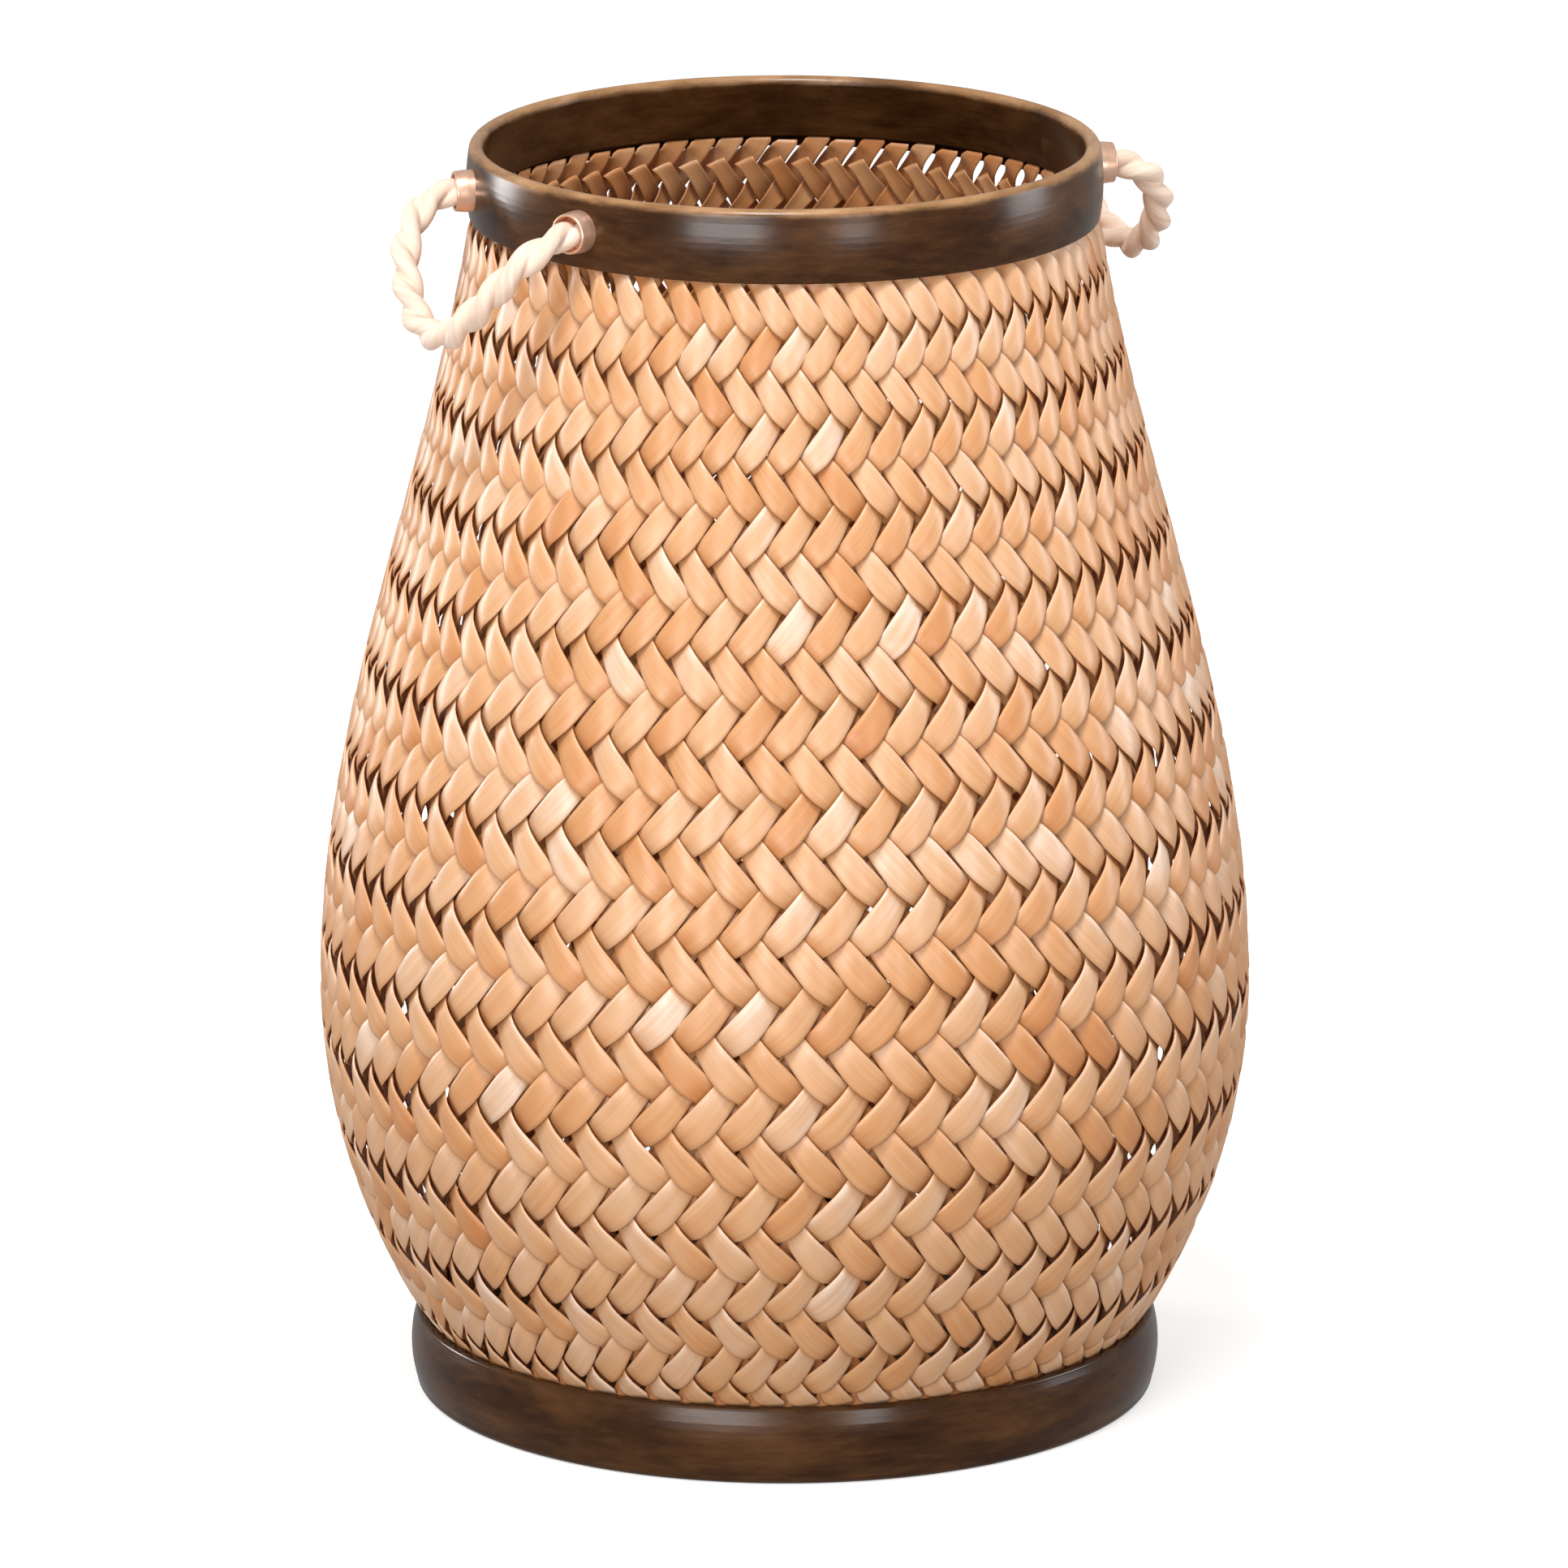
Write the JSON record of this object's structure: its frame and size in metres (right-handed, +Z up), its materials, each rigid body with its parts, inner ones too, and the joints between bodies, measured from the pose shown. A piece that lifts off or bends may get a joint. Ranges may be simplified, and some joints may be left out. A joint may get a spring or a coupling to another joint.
{
  "type": "wicker log basket",
  "caption": "Tall pot-bellied log basket: twill-woven wall between a dark bent-wood rim band and base band, wooden floor, twisted-rope side handles in metal ferrules.",
  "frame": {"origin": "centre of the standing face, on the basket's own axis", "axes": "+Z up along the basket's axis; the two handles are on +X (right) and -X (left); -Y is the front"},
  "size_m": [0.4, 0.3998, 0.548],
  "materials": {
    "weave": "satin dried palm-leaf strips, pale to orange tan",
    "dark_wood": "glossy dark walnut stain, worn lighter at the crest",
    "floor_wood": "matt dark stain",
    "copper_finish": "polished rose-copper plating",
    "rope": "soft twisted two-strand cotton",
    "steel": "zinc-plated"
  },
  "bodies": {
    "basket": {"woven_wall": "weave", "rim_band": "dark_wood", "base_band": "dark_wood", "floor_panel": "floor_wood", "floor_brads": "steel", "right_front_ferrule": "copper_finish", "right_rear_ferrule": "copper_finish", "left_front_ferrule": "copper_finish", "left_rear_ferrule": "copper_finish", "ferrule_screws": "steel", "right_front_rope_end": "rope", "right_rear_rope_end": "rope", "left_front_rope_end": "rope", "left_rear_rope_end": "rope"},
    "right_handle": {"right_rope_handle": "rope"},
    "left_handle": {"left_rope_handle": "rope"}
  },
  "joints": [
    {"name": "right_handle_swing", "type": "hinge", "parent": "basket", "child": "right_handle", "pos_m": [0.144, 0, 0.53], "axis": [0, -1, 0], "range_deg": [0, 130]},
    {"name": "left_handle_swing", "type": "hinge", "parent": "basket", "child": "left_handle", "pos_m": [-0.144, 0, 0.53], "axis": [0, 1, 0], "range_deg": [0, 130]}
  ]
}
